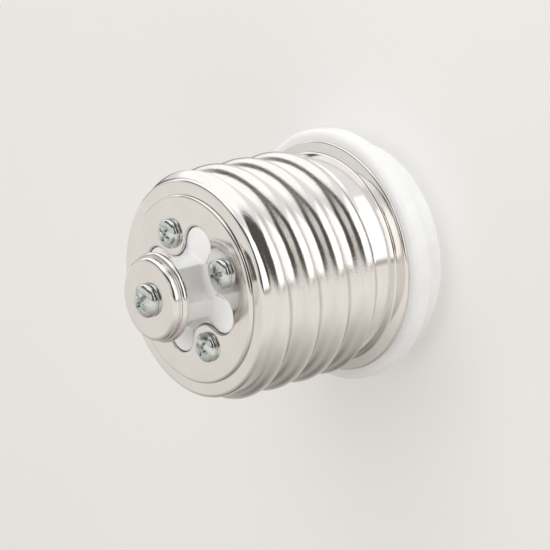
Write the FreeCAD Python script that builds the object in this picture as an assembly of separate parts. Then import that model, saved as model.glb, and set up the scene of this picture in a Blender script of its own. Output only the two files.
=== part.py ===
"""Lamp socket adapter: a large screw base outside, a medium screw socket inside.

Millimetres. The adapter stands on its mouth rim at z = 0, and +Z runs along its axis to the
end contact. X and Y pass through the four screws of the end plate.
"""
import FreeCAD, Part

import os
from math import acos, ceil, cos, degrees, radians, sin, sqrt

V = FreeCAD.Vector
ORIGIN = V(0, 0, 0)
UP = V(0, 0, 1)

# Clearances between pieces
SLIP = 0.1
HOLE_SLIP = 0.15
BOSS_SLIP = 0.15
TAP_SLIP = 0.02

# Threaded socket sleeve
SLEEVE_SHEET = 0.45
SLEEVE_ROOT_R = 13.4
SLEEVE_THREAD_DEPTH = 1.1
SLEEVE_PITCH = 3.629
SLEEVE_R = SLEEVE_ROOT_R + SLEEVE_SHEET
SLEEVE_RIM_REACH = 1.15
SLEEVE_RIM_R = SLEEVE_R + SLEEVE_RIM_REACH
SLEEVE_FLOOR_TOP = 24.95
SLEEVE_PLAIN_LENGTH = 2.6
SLEEVE_ENTRY = 1.0
SLEEVE_PLAIN_SPARE = 0.05

# Moulded collar ring round the mouth, and the core's spigot in it
SPIGOT_BORDER = 1.5
SPIGOT_R = SLEEVE_RIM_R + SPIGOT_BORDER
COLLAR_WALL = 2.4
COLLAR_R = SPIGOT_R + COLLAR_WALL
COLLAR_HEIGHT = 5.8
COLLAR_EDGE = 0.8
MOUTH_SPARE = 0.7
MOUTH_R = SLEEVE_ROOT_R + MOUTH_SPARE
MOUTH_LIP = 2.0
MOUTH_CHAMFER = 0.6

# Threaded shell, rolled from sheet
SHELL_HEIGHT = 30.3
SHELL_SHEET = 0.5
SHELL_CREST_R = 19.65
SHELL_THREAD_DEPTH = 1.8
SHELL_PITCH = 6.35
SHELL_CREST_DROP = 1.25
SHELL_WALL = 0.55
SHELL_BORE_R = SHELL_CREST_R - SHELL_THREAD_DEPTH - SHELL_WALL
SHELL_BEND = 1.1
SHELL_ENTRY_ROUND = 4.5
SHELL_ENTRY_SPARE = 0.5
NECK_INSET = 1.45
NECK_R = SHELL_CREST_R - NECK_INSET
NECK_HEIGHT = 5.6
NECK_EDGE = 0.3
FADE_FOOT = 4.4
FADE_HEAD = 6.9
LIP_REACH = 2.0
LIP_R = NECK_R + LIP_REACH
LIP_FILLET = 1.0
LIP_EDGE = 0.2
RIM_INSET = 1.15
RIM_R = SHELL_CREST_R - RIM_INSET
RIM_WIDTH = 2.4
RIM_ROUND = 1.6
RIM_BACK_ROUND = 0.6

# Moulded flange behind the shell
FLANGE_REACH = 1.9
FLANGE_R = LIP_R + FLANGE_REACH
FLANGE_THICKNESS = 3.1
FLANGE_FRONT_ROUND = 1.1
FLANGE_BACK_ROUND = 0.5

# End plate with its four-lobed opening, and the screws that hold it
PLATE_INSET = 2.55
PLATE_R = RIM_R - PLATE_INSET
PLATE_HEIGHT = 1.0
PLATE_SLOPE_WIDTH = 1.15
PLATE_SLOPE_DROP = 0.2
PLATE_ROUND = 0.5
SCREW_COUNT = 4
PLATE_SCREW_R = 1.25
PLATE_SCREW_HEAD_R = 2.5
PLATE_SCREW_HEAD = 2.1
SCREW_TIP = 0.4
NUT_FLATS = 5.0
NUT_HEIGHT = 2.0
NUT_ROOM = 1.0
SCREW_CIRCLE_R = SLEEVE_ROOT_R - NUT_ROOM - NUT_FLATS / 2
TAB_BORDER = 1.25
TAB_R = PLATE_SCREW_HEAD_R + TAB_BORDER
LOBE_INSET = 1.6
LOBE_CIRCLE_R = SCREW_CIRCLE_R - LOBE_INSET

# The core's island in the socket's floor
ISLAND_R = SCREW_CIRCLE_R - NUT_FLATS / 2 - SLIP
ISLAND_DROP = 0.95
FLOOR_HOLE_R = ISLAND_R + SLIP

# Contact screws and the stud that joins them
CAP_SCREW_R = 1.5
CAP_SCREW_HEAD_R = 2.8
CAP_SCREW_HEAD = 2.4
CAP_SCREW_LENGTH = 8.0
LEAF_SCREW_HEAD = 2.2
STUD_WALL = 0.7
STUD_R = CAP_SCREW_R + STUD_WALL
STUD_TAP_SPARE = 1.0

# Boss in the plate's opening, and the fluted post on it
BOSS_HEIGHT = 0.9
POST_R = 6.2
POST_WALL = 1.0
FLUTE_INSET = 0.1
FLUTE_CIRCLE_R = POST_R - FLUTE_INSET
FLUTE_R = FLUTE_CIRCLE_R - STUD_R - POST_WALL
POST_RIB_EDGE = 0.3
POST_FOOT = 0.6
POST_TOP_EDGE = 0.5

# Contact cap
CAP_FACE_HEIGHT = 9.2
CAP_HEIGHT = 2.6
CAP_SHEET = 0.6
CAP_R = POST_R + SLIP + CAP_SHEET
CAP_ROUND = 1.0
CAP_INNER_EDGE = 0.4
CAP_BEAD_REACH = 0.55
CAP_BEAD_R = CAP_R + CAP_BEAD_REACH
CAP_BEAD_HEIGHT = 1.2
BEAD_ROUND_SHARE = 0.96

# Spring contact at the bottom of the socket
LEAF_THICKNESS = 0.4
LEAF_WIDTH = 6.0
LEAF_BEND_R = 1.5
LEAF_REACH = 4.2
LEAF_TAIL = 3.6
LEAF_TIP_R = 1.6
LEAF_DIMPLE_R = 1.4
LEAF_DIMPLE_DEPTH = 0.7

# Shares of a screw head that shape it and its recess
HEAD_SIDE_SHARE = 0.4
HEAD_ROUND_SHARE = 0.98
RECESS_DEPTH_SHARE = 0.62
RECESS_WIDTH_SHARE = 0.3
RECESS_R_SHARE = 0.56
RECESS_TAPER_SHARE = 0.35

# Shares and angles used to make the threads
LAND_SHARE = 0.07
RIDGE_FOOT_SHARE = 0.33
SEAM_TURN = 100.0
SEAM_STEP = 60.0
THREAD_JOIN = 1e-4
TOUCH = 1e-3
PAST = 1.0

# Heights worked out from the mouth rim
FLANGE_TOP = COLLAR_HEIGHT + FLANGE_THICKNESS
SHELL_TOP = FLANGE_TOP + SHELL_HEIGHT
CORE_TOP = SHELL_TOP - SHELL_SHEET
PLATE_TOP = SHELL_TOP + PLATE_HEIGHT
BOSS_TOP = CORE_TOP + BOSS_HEIGHT
CAP_TOP = SHELL_TOP + CAP_FACE_HEIGHT
CAP_SEAT = CAP_TOP - CAP_SHEET
CAP_FOOT = CAP_TOP - CAP_HEIGHT
SLEEVE_FLOOR = SLEEVE_FLOOR_TOP - SLEEVE_SHEET
ISLAND_FACE = SLEEVE_FLOOR_TOP - ISLAND_DROP
LEAF_FACE = ISLAND_FACE - LEAF_THICKNESS
NUT_FACE = SLEEVE_FLOOR - NUT_HEIGHT
LOBE_ANGLE = 180.0 / SCREW_COUNT


def cylinder(radius, low, high, x=0.0, y=0.0):
    """An upright cylinder between two heights."""
    return Part.makeCylinder(radius, high - low, V(x, y, low), UP)


def turned(points):
    """The solid of revolution of an outline given as (radius, height) corners."""
    corners = [V(r, 0, z) for r, z in points]
    outline = Part.makePolygon(corners + corners[:1])
    return Part.Face(outline).revolve(ORIGIN, UP, 360)


def rim_edges(shape, radius, height):
    """The full circles of one radius about the axis at one height."""
    found = []
    for edge in shape.Edges:
        if not isinstance(edge.Curve, Part.Circle):
            continue
        middle = edge.Curve.Center
        on_axis = abs(middle.x) < TOUCH and abs(middle.y) < TOUCH
        if on_axis and abs(edge.Curve.Radius - radius) < TOUCH and abs(middle.z - height) < TOUCH:
            found.append(edge)
    return found


def rounded(shape, radius, height, size):
    """Rounds the circular edge at one radius and height."""
    return shape.makeFillet(size, rim_edges(shape, radius, height))


def around(count, radius, start=0.0):
    """Evenly spaced places on a circle about the axis."""
    angles = [radians(start + 360.0 * k / count) for k in range(count)]
    return [(radius * cos(a), radius * sin(a)) for a in angles]


def screw_places():
    return around(SCREW_COUNT, SCREW_CIRCLE_R)


def knuckle_rod(crest, depth, pitch, crest_height, low, high):
    """A rod whose side is a right-hand knuckle thread.

    One crest arc and two half root arcs make the ridge's profile. It is swept up a helix and
    fused to a core that is wider than the root by a narrow land, then both are cut to length.
    The crest over the X axis is at crest_height.
    """
    arc = ((pitch / 2) ** 2 + depth ** 2) / (4 * depth)
    root = crest - depth
    land = root + depth * LAND_SHARE
    under = root - depth * RIDGE_FOOT_SHARE
    turns_below = ceil((crest_height - low) / pitch) + 1
    start = crest_height - turns_below * pitch
    side = pitch / 2 - sqrt(arc ** 2 - (root + arc - land) ** 2)

    def on_root(along):
        return root + arc - sqrt(arc ** 2 - (pitch / 2 - along) ** 2)

    def at(radius, along):
        return V(radius, 0, start + along)

    middle = (side + pitch / 4) / 2
    profile = Part.Wire([
        Part.makeLine(at(under, -side), at(land, -side)),
        Part.Arc(at(land, -side), at(on_root(middle), -middle), at(crest - depth / 2, -pitch / 4)).toShape(),
        Part.Arc(at(crest - depth / 2, -pitch / 4), at(crest, 0), at(crest - depth / 2, pitch / 4)).toShape(),
        Part.Arc(at(crest - depth / 2, pitch / 4), at(on_root(middle), middle), at(land, side)).toShape(),
        Part.makeLine(at(land, side), at(under, side)),
        Part.makeLine(at(under, side), at(under, -side)),
    ])
    turns = turns_below + ceil((high - crest_height) / pitch) + 1
    helix = Part.makeHelix(pitch, pitch * turns, root)
    helix.translate(V(0, 0, start))
    ridge = Part.Wire(helix).makePipeShell([profile], True, True)
    core = cylinder(land, start - pitch, start + pitch * (turns + 1))
    core.rotate(ORIGIN, UP, SEAM_TURN)
    length = cylinder(crest + PAST, low, high)
    length.rotate(ORIGIN, UP, SEAM_TURN + SEAM_STEP)
    return core.fuse([ridge], THREAD_JOIN).common(length)


def clover(slack, low, high):
    """A prism of the four-lobed opening, smaller by slack all round.

    Lobe arcs and tab arcs are tangent: the tab circles share the screws' axes, and each lobe
    circle reaches from its own centre to its two neighbouring tabs.
    """
    tabs = around(SCREW_COUNT, SCREW_CIRCLE_R)
    lobes = around(SCREW_COUNT, LOBE_CIRCLE_R, LOBE_ANGLE)
    gap = sqrt((tabs[0][0] - lobes[0][0]) ** 2 + (tabs[0][1] - lobes[0][1]) ** 2)
    lobe_r = gap - TAB_R - slack
    tab_r = TAB_R + slack

    def meeting(lobe, tab):
        share = lobe_r / gap
        return V(lobe[0] + (tab[0] - lobe[0]) * share, lobe[1] + (tab[1] - lobe[1]) * share, low)

    def at_radius(place, radius):
        reach = sqrt(place[0] ** 2 + place[1] ** 2)
        return V(place[0] * radius / reach, place[1] * radius / reach, low)

    edges = []
    for k in range(SCREW_COUNT):
        tab = tabs[(k + 1) % SCREW_COUNT]
        following = lobes[(k + 1) % SCREW_COUNT]
        start = meeting(lobes[k], tabs[k])
        middle = meeting(lobes[k], tab)
        end = meeting(following, tab)
        lobe_tip = at_radius(lobes[k], LOBE_CIRCLE_R + lobe_r)
        tab_tip = at_radius(tab, SCREW_CIRCLE_R - tab_r)
        edges.append(Part.Arc(start, lobe_tip, middle).toShape())
        edges.append(Part.Arc(middle, tab_tip, end).toShape())
    return Part.Face(Part.Wire(edges)).extrude(V(0, 0, high - low))


def cross_recess(head_r, head, top):
    """A tapered cross recess that opens upwards at the top of a screw head."""
    depth = head * RECESS_DEPTH_SHARE
    reach = head_r * RECESS_R_SHARE
    width = head_r * RECESS_WIDTH_SHARE
    cone = Part.makeCone(reach * RECESS_TAPER_SHARE, reach, depth, V(0, 0, top - depth), UP)
    wing = Part.makeBox(2 * reach, width, depth, V(-reach, -width / 2, top - depth))
    other = wing.copy()
    other.rotate(ORIGIN, UP, 90)
    return cone.common(wing.fuse(other))


def pan_screw(shank_r, head_r, head, seat, tip):
    """A pan head screw about the Z axis: seat is the height under its head."""
    side = seat + head * HEAD_SIDE_SHARE
    top = seat + head
    crown = turned([(0, seat), (head_r, seat), (head_r, top), (0, top)])
    crown = rounded(crown, head_r, top, min(top - side, head_r) * HEAD_ROUND_SHARE)
    point = turned([(0, tip), (shank_r - SCREW_TIP, tip), (shank_r, tip + SCREW_TIP),
                    (shank_r, seat + head / 4), (0, seat + head / 4)])
    return crown.fuse(point).cut(cross_recess(head_r, head, top)).removeSplitter()


def turned_over(shape, height):
    """The shape turned upside down about a level line at one height."""
    copy = shape.copy()
    copy.rotate(V(0, 0, height), V(1, 0, 0), 180)
    return copy


def collar_ring():
    """Outer collar of the mouth, with the inner lip that keeps the sleeve in."""
    ring = turned([(MOUTH_R + MOUTH_CHAMFER, 0), (COLLAR_R, 0), (COLLAR_R, COLLAR_HEIGHT),
                   (SPIGOT_R + SLIP, COLLAR_HEIGHT), (SPIGOT_R + SLIP, MOUTH_LIP),
                   (MOUTH_R, MOUTH_LIP), (MOUTH_R, MOUTH_CHAMFER)])
    return rounded(ring, COLLAR_R, 0, COLLAR_EDGE)


def on_circle(radius, angle, height):
    """A point about the axis, by radius and angle in degrees."""
    return V(radius * cos(radians(angle)), radius * sin(radians(angle)), height)


def post():
    """Four-ribbed post with a round flute over each screw."""
    reach = (FLUTE_CIRCLE_R ** 2 + POST_R ** 2 - FLUTE_R ** 2) / (2 * FLUTE_CIRCLE_R * POST_R)
    half = degrees(acos(reach))
    step = 360.0 / SCREW_COUNT
    edges = []
    for k in range(SCREW_COUNT):
        flute = k * step
        start = on_circle(POST_R, flute - half, BOSS_TOP)
        bottom = on_circle(FLUTE_CIRCLE_R - FLUTE_R, flute, BOSS_TOP)
        end = on_circle(POST_R, flute + half, BOSS_TOP)
        rib = on_circle(POST_R, flute + step / 2, BOSS_TOP)
        following = on_circle(POST_R, flute + step - half, BOSS_TOP)
        edges.append(Part.Arc(start, bottom, end).toShape())
        edges.append(Part.Arc(end, rib, following).toShape())
    body = Part.Face(Part.Wire(edges)).extrude(V(0, 0, CAP_SEAT - BOSS_TOP))
    upright = [e for e in body.Edges if isinstance(e.Curve, Part.Line)]
    body = body.makeFillet(POST_RIB_EDGE, upright)
    bevel_r = POST_R + PAST
    bevel = turned([(0, BOSS_TOP - PAST), (bevel_r, BOSS_TOP - PAST),
                    (bevel_r, CAP_SEAT - POST_TOP_EDGE - PAST), (POST_R - POST_TOP_EDGE, CAP_SEAT),
                    (0, CAP_SEAT)])
    return body.common(bevel)


def core_body():
    """Moulded core: spigot, flange, the body inside the shell, boss and post in one piece."""
    blank = turned([(0, MOUTH_LIP), (SPIGOT_R, MOUTH_LIP), (SPIGOT_R, COLLAR_HEIGHT),
                    (FLANGE_R, COLLAR_HEIGHT), (FLANGE_R, FLANGE_TOP),
                    (SHELL_BORE_R - SLIP, FLANGE_TOP), (SHELL_BORE_R - SLIP, CORE_TOP - SHELL_BEND),
                    (SHELL_BORE_R - SLIP - SHELL_BEND, CORE_TOP), (0, CORE_TOP)])
    blank = rounded(blank, FLANGE_R, FLANGE_TOP, FLANGE_FRONT_ROUND)
    blank = rounded(blank, FLANGE_R, COLLAR_HEIGHT, FLANGE_BACK_ROUND)
    bore_r = SLEEVE_R + HOLE_SLIP
    rim_top = MOUTH_LIP + SLEEVE_SHEET
    hollow = turned([(0, MOUTH_LIP - PAST), (SLEEVE_RIM_R + SLIP, MOUTH_LIP - PAST),
                     (SLEEVE_RIM_R + SLIP, rim_top), (bore_r, rim_top),
                     (bore_r, SLEEVE_FLOOR_TOP), (ISLAND_R, SLEEVE_FLOOR_TOP),
                     (ISLAND_R, ISLAND_FACE), (0, ISLAND_FACE)])
    body = blank.cut(hollow)
    body = body.fuse(clover(BOSS_SLIP, CORE_TOP - PAST, BOSS_TOP))
    body = body.fuse(post()).removeSplitter()
    foot = [e for e in body.Edges
            if abs(e.BoundBox.ZMin - BOSS_TOP) < TOUCH and abs(e.BoundBox.ZMax - BOSS_TOP) < TOUCH
            and max(sqrt(v.X ** 2 + v.Y ** 2) for v in e.Vertexes) < POST_R + TOUCH]
    body = body.makeFillet(POST_FOOT, foot)
    for x, y in screw_places():
        body = body.cut(cylinder(PLATE_SCREW_R + SLIP, SLEEVE_FLOOR_TOP - PAST, CORE_TOP + PAST, x, y))
    return body.cut(cylinder(STUD_R, ISLAND_FACE - PAST, CAP_SEAT + PAST))


def mogul_shell():
    """Large screw shell: rolled thread, plain neck, turned-out lip and inward front."""
    wide = SHELL_CREST_R + SHELL_ENTRY_SPARE
    envelope = turned([(0, FLANGE_TOP), (NECK_R, FLANGE_TOP), (NECK_R, FLANGE_TOP + FADE_FOOT),
                       (wide, FLANGE_TOP + FADE_HEAD), (wide, SHELL_TOP), (0, SHELL_TOP)])
    envelope = rounded(envelope, wide, SHELL_TOP, SHELL_ENTRY_ROUND)
    rod = knuckle_rod(SHELL_CREST_R, SHELL_THREAD_DEPTH, SHELL_PITCH, SHELL_TOP - SHELL_CREST_DROP,
                      FLANGE_TOP - PAST, SHELL_TOP + PAST)
    thread = rod.common(envelope)
    lip_top = FLANGE_TOP + SHELL_SHEET
    neck = turned([(0, FLANGE_TOP), (LIP_R, FLANGE_TOP), (LIP_R, lip_top), (NECK_R, lip_top),
                   (NECK_R, FLANGE_TOP + NECK_HEIGHT), (0, FLANGE_TOP + NECK_HEIGHT)])
    neck = rounded(neck, NECK_R, lip_top, LIP_FILLET)
    neck = rounded(neck, LIP_R, lip_top, LIP_EDGE)
    neck = rounded(neck, NECK_R, FLANGE_TOP + NECK_HEIGHT, NECK_EDGE)
    rim = cylinder(RIM_R, SHELL_TOP - RIM_WIDTH, SHELL_TOP)
    rim = rounded(rim, RIM_R, SHELL_TOP, RIM_ROUND)
    rim = rounded(rim, RIM_R, SHELL_TOP - RIM_WIDTH, RIM_BACK_ROUND)
    hollow = turned([(0, FLANGE_TOP - PAST), (SHELL_BORE_R, FLANGE_TOP - PAST),
                     (SHELL_BORE_R, CORE_TOP - SHELL_BEND), (SHELL_BORE_R - SHELL_BEND, CORE_TOP),
                     (0, CORE_TOP)])
    shell = thread.fuse(neck).fuse(rim).cut(hollow)
    shell = shell.cut(clover(0.0, CORE_TOP - PAST, SHELL_TOP + PAST))
    return with_screw_holes(shell, CORE_TOP, SHELL_TOP)


def with_screw_holes(shape, low, high):
    """Drills the four screw holes between two heights."""
    for x, y in screw_places():
        shape = shape.cut(cylinder(PLATE_SCREW_R + HOLE_SLIP, low - PAST, high + PAST, x, y))
    return shape


def end_plate():
    """Stamped plate on the shell's front, with the four-lobed opening."""
    side_top = PLATE_TOP - PLATE_SLOPE_DROP
    plate = turned([(0, SHELL_TOP), (PLATE_R, SHELL_TOP), (PLATE_R, side_top),
                    (PLATE_R - PLATE_SLOPE_WIDTH, PLATE_TOP), (0, PLATE_TOP)])
    plate = rounded(plate, PLATE_R, side_top, PLATE_ROUND)
    plate = plate.cut(clover(0.0, SHELL_TOP - PAST, PLATE_TOP + PAST))
    return with_screw_holes(plate, SHELL_TOP, PLATE_TOP)


def contact_cap():
    """End contact: a drawn cup with a rolled bead round its foot."""
    cup = rounded(cylinder(CAP_R, CAP_FOOT, CAP_TOP), CAP_R, CAP_TOP, CAP_ROUND)
    bead = cylinder(CAP_BEAD_R, CAP_FOOT, CAP_FOOT + CAP_BEAD_HEIGHT)
    bead_round = min(CAP_BEAD_REACH, CAP_BEAD_HEIGHT / 2) * BEAD_ROUND_SHARE
    bead = rounded(bead, CAP_BEAD_R, CAP_FOOT, bead_round)
    bead = rounded(bead, CAP_BEAD_R, CAP_FOOT + CAP_BEAD_HEIGHT, bead_round)
    inner_r = CAP_R - CAP_SHEET
    hollow = turned([(0, CAP_FOOT - PAST), (inner_r, CAP_FOOT - PAST), (inner_r, CAP_SEAT - CAP_INNER_EDGE),
                     (inner_r - CAP_INNER_EDGE, CAP_SEAT), (0, CAP_SEAT)])
    hole = cylinder(CAP_SCREW_R + HOLE_SLIP, CAP_SEAT - PAST, CAP_TOP + PAST)
    return cup.fuse(bead).cut(hollow).cut(hole).removeSplitter()


def core_stud():
    """Brass stud through the post, tapped at both ends."""
    stud = cylinder(STUD_R, ISLAND_FACE, CAP_SEAT)
    depth = CAP_SCREW_LENGTH + STUD_TAP_SPARE
    upper = cylinder(CAP_SCREW_R + TAP_SLIP, CAP_SEAT - depth, CAP_SEAT + PAST)
    lower = cylinder(CAP_SCREW_R + TAP_SLIP, ISLAND_FACE - PAST, ISLAND_FACE + depth)
    return stud.cut(upper).cut(lower)


def medium_sleeve():
    """Socket sleeve: threaded wall, turned-out rim at the mouth and holed floor."""
    blank = turned([(0, MOUTH_LIP), (SLEEVE_RIM_R, MOUTH_LIP),
                    (SLEEVE_RIM_R, MOUTH_LIP + SLEEVE_SHEET), (SLEEVE_R, MOUTH_LIP + SLEEVE_SHEET),
                    (SLEEVE_R, SLEEVE_FLOOR_TOP), (0, SLEEVE_FLOOR_TOP)])
    thread_top = SLEEVE_FLOOR - SLEEVE_PLAIN_LENGTH
    rod = knuckle_rod(SLEEVE_ROOT_R, SLEEVE_THREAD_DEPTH, SLEEVE_PITCH, thread_top - SLEEVE_PITCH / 3,
                      MOUTH_LIP, thread_top)
    plain_r = SLEEVE_ROOT_R + SLEEVE_PLAIN_SPARE
    mouth = cylinder(plain_r, MOUTH_LIP - PAST, MOUTH_LIP + SLEEVE_ENTRY)
    deep = cylinder(plain_r, thread_top, SLEEVE_FLOOR)
    sleeve = blank.cut(rod.fuse(deep)).cut(mouth)
    sleeve = sleeve.cut(cylinder(FLOOR_HOLE_R, SLEEVE_FLOOR - PAST, SLEEVE_FLOOR_TOP + PAST))
    return with_screw_holes(sleeve, SLEEVE_FLOOR, SLEEVE_FLOOR_TOP)


def contact_leaf():
    """Spring leaf: a base on the stud, a U bend and a tongue with a contact dimple."""
    bend_mid = ISLAND_FACE - LEAF_THICKNESS - LEAF_BEND_R
    low = bend_mid - LEAF_BEND_R - LEAF_THICKNESS
    half = LEAF_WIDTH / 2
    base = Part.makeBox(LEAF_REACH + LEAF_TAIL, LEAF_WIDTH, LEAF_THICKNESS, V(-LEAF_TAIL, -half, LEAF_FACE))
    tongue = Part.makeBox(LEAF_REACH + LEAF_TAIL, LEAF_WIDTH, LEAF_THICKNESS, V(-LEAF_TAIL, -half, low))
    corners = [e for e in tongue.Edges
               if e.BoundBox.XMax < -LEAF_TAIL + TOUCH and e.BoundBox.ZLength > LEAF_THICKNESS / 2]
    tongue = tongue.makeFillet(LEAF_TIP_R, corners)
    along = V(0, 1, 0)
    start = V(LEAF_REACH, -half, bend_mid)
    outer = Part.makeCylinder(LEAF_BEND_R + LEAF_THICKNESS, LEAF_WIDTH, start, along)
    inner = Part.makeCylinder(LEAF_BEND_R, LEAF_WIDTH, start, along)
    reach = LEAF_BEND_R + LEAF_THICKNESS + PAST
    side = Part.makeBox(reach, LEAF_WIDTH, 2 * reach, V(LEAF_REACH, -half, bend_mid - reach))
    bend = outer.cut(inner).common(side)
    ball_r = (LEAF_DIMPLE_R ** 2 + LEAF_DIMPLE_DEPTH ** 2) / (2 * LEAF_DIMPLE_DEPTH)
    ball = Part.makeSphere(ball_r, V(0, 0, low - LEAF_DIMPLE_DEPTH + ball_r))
    dimple = ball.common(cylinder(ball_r, low - ball_r, low + LEAF_THICKNESS / 2))
    hole = cylinder(CAP_SCREW_R + HOLE_SLIP, LEAF_FACE - LEAF_THICKNESS / 2, ISLAND_FACE + PAST)
    leaf = base.fuse(bend).fuse(tongue).fuse(dimple).cut(hole).removeSplitter()
    leaf.rotate(ORIGIN, UP, LOBE_ANGLE)
    return leaf


def hex_nut(angle):
    """Nut under the socket floor, one flat turned to the axis."""
    corner_r = NUT_FLATS / sqrt(3)
    corners = [on_circle(corner_r, 60 * k + 30, NUT_FACE) for k in range(6)]
    prism = Part.Face(Part.makePolygon(corners + corners[:1])).extrude(V(0, 0, NUT_HEIGHT))
    nut = prism.cut(cylinder(PLATE_SCREW_R + TAP_SLIP, NUT_FACE - PAST, SLEEVE_FLOOR + PAST))
    nut.translate(V(SCREW_CIRCLE_R, 0, 0))
    nut.rotate(ORIGIN, UP, angle)
    return nut


def build():
    """Every piece by its node's name."""
    nodes = {
        "collar_ring": collar_ring(),
        "core_body": core_body(),
        "mogul_shell": mogul_shell(),
        "end_plate": end_plate(),
        "contact_cap": contact_cap(),
        "core_stud": core_stud(),
        "medium_sleeve": medium_sleeve(),
        "contact_leaf": contact_leaf(),
        "cap_screw": pan_screw(CAP_SCREW_R, CAP_SCREW_HEAD_R, CAP_SCREW_HEAD,
                               CAP_TOP, CAP_SEAT - CAP_SCREW_LENGTH),
    }
    leaf_screw = pan_screw(CAP_SCREW_R, CAP_SCREW_HEAD_R, LEAF_SCREW_HEAD,
                           LEAF_FACE, LEAF_FACE - CAP_SCREW_LENGTH)
    nodes["leaf_screw"] = turned_over(leaf_screw, LEAF_FACE)
    for number, (x, y) in enumerate(screw_places(), start=1):
        screw = pan_screw(PLATE_SCREW_R, PLATE_SCREW_HEAD_R, PLATE_SCREW_HEAD,
                          PLATE_TOP, NUT_FACE - SCREW_TIP)
        screw.translate(V(x, y, 0))
        nodes[f"plate_screw_{number}"] = screw
        nodes[f"screw_nut_{number}"] = hex_nut((number - 1) * 360.0 / SCREW_COUNT)
    return nodes


os.makedirs("parts", exist_ok=True)
for node, shape in build().items():
    solids = shape.Solids
    print(node, "valid", shape.isValid(), "solids", len(solids), "volume", round(shape.Volume, 1))
    solids[0].exportStep(f"parts/{node}.step")
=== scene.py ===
import math
from functools import partial

import bmesh
import bpy
import numpy as np
from mathutils import Matrix, Vector


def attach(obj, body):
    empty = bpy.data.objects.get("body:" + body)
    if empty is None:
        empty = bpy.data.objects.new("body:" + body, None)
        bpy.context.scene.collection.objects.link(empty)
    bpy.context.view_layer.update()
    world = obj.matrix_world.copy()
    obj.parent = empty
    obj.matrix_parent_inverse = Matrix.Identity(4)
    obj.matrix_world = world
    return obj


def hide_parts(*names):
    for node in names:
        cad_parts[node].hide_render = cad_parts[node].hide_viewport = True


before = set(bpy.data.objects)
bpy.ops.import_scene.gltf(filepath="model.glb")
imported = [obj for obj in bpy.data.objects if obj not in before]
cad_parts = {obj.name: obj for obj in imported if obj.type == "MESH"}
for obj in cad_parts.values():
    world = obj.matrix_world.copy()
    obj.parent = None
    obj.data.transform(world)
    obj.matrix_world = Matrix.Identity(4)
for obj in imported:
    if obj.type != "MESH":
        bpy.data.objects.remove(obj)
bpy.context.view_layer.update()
MM = 0.001

# The adapter's sizes in millimetres, heights from the mouth rim up to the end contact.
COLLAR_TOP = 5.8
FLANGE_TOP = 8.9
SHELL_SEAT = 8.92
THREAD_FOOT = 14.5
SOCKET_FLOOR = 24.5
CORE_TOP = 38.7
SHELL_TOP = 39.2
BOSS_TOP = 39.5
PLATE_TOP = 39.8
CAP_SEAT = 47.65
CAP_TOP = 48.25

COLLAR_RADIUS = 18.9
FLANGE_RADIUS = 22.09
SPIGOT_RADIUS = 16.5
LIP_RADIUS = 20.2
NECK_RADIUS = 18.2
SHELL_BORE = 17.3
FRONT_OPENING = 12.0
PLATE_RADIUS = 15.9
CAP_RADIUS = 6.95
BEAD_RADIUS = 7.5

# Plate screws on their circle, the round tabs that carry them and the lobes between the tabs.
SCREW_CIRCLE = 9.9
TAB_RADIUS = 3.75
LOBE_CIRCLE = 8.3


# Profiles and ring meshes

def eased(corners, steps=7, guard=0.05):
    """A profile of (radius, height, rounding) corners as a line with an arc at each rounded corner."""
    line = []
    count = len(corners)
    for i, (radius, height, size) in enumerate(corners):
        here = Vector((radius, height))
        if size == 0:
            line.append(here)
            continue
        back = (Vector(corners[i - 1][:2]) - here).normalized()
        on = (Vector(corners[(i + 1) % count][:2]) - here).normalized()
        half = back.angle(on) / 2
        reach = size / math.tan(half)
        centre = here + (back + on).normalized() * size / math.sin(half)
        start = here + back * reach - centre
        end = here + on * reach - centre
        swing = start.angle_signed(end)
        line.append(here + back * (reach + guard))
        for k in range(steps + 1):
            angle = -swing * k / steps
            turned = Vector((start.x * math.cos(angle) - start.y * math.sin(angle),
                             start.x * math.sin(angle) + start.y * math.cos(angle)))
            line.append(centre + turned)
        line.append(here + on * (reach + guard))
    return line


def circle_ring(sides, radius, height):
    """One level ring of points round the axis."""
    angles = np.arange(sides) * 2 * math.pi / sides
    return np.stack([radius * np.cos(angles), radius * np.sin(angles), np.full(sides, height)], axis=1)


def circle_rings(sides, line):
    """A ring for each point of a profile."""
    return [circle_ring(sides, p.x, p.y) for p in line]


def ring_mesh(name, rings, closed=True):
    """Joins rings of points with four-sided faces: outside walls go up, inside walls come down."""
    sides = len(rings[0])
    points = np.concatenate(rings) * MM
    rows = len(rings) if closed else len(rings) - 1
    faces = []
    for row in range(rows):
        low = row * sides
        high = ((row + 1) % len(rings)) * sides
        for k in range(sides):
            j = (k + 1) % sides
            faces.append((low + k, low + j, high + j, high + k))
    if not closed:
        faces.append(tuple(range(sides - 1, -1, -1)))
        top = (len(rings) - 1) * sides
        faces.append(tuple(top + k for k in range(sides)))
    mesh = bpy.data.meshes.new(name)
    mesh.from_pydata([tuple(p) for p in points], [], faces)
    return mesh


def add_piece(name, mesh, material, nodes, sharp=40.0):
    """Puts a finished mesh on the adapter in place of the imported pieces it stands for."""
    mesh.name = name
    mesh.materials.clear()
    mesh.materials.append(material)
    for face in mesh.polygons:
        face.use_smooth = True
        face.material_index = 0
    mesh.set_sharp_from_angle(angle=math.radians(sharp))
    piece = bpy.data.objects.new(name, mesh)
    bpy.context.scene.collection.objects.link(piece)
    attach(piece, "root")
    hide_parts(*nodes)


def merged_copy(node):
    """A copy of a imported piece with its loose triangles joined."""
    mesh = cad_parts[node].data.copy()
    work = bmesh.new()
    work.from_mesh(mesh)
    bmesh.ops.remove_doubles(work, verts=work.verts, dist=2e-6)
    work.to_mesh(mesh)
    work.free()
    return mesh


# Outlines that aren't round

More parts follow.
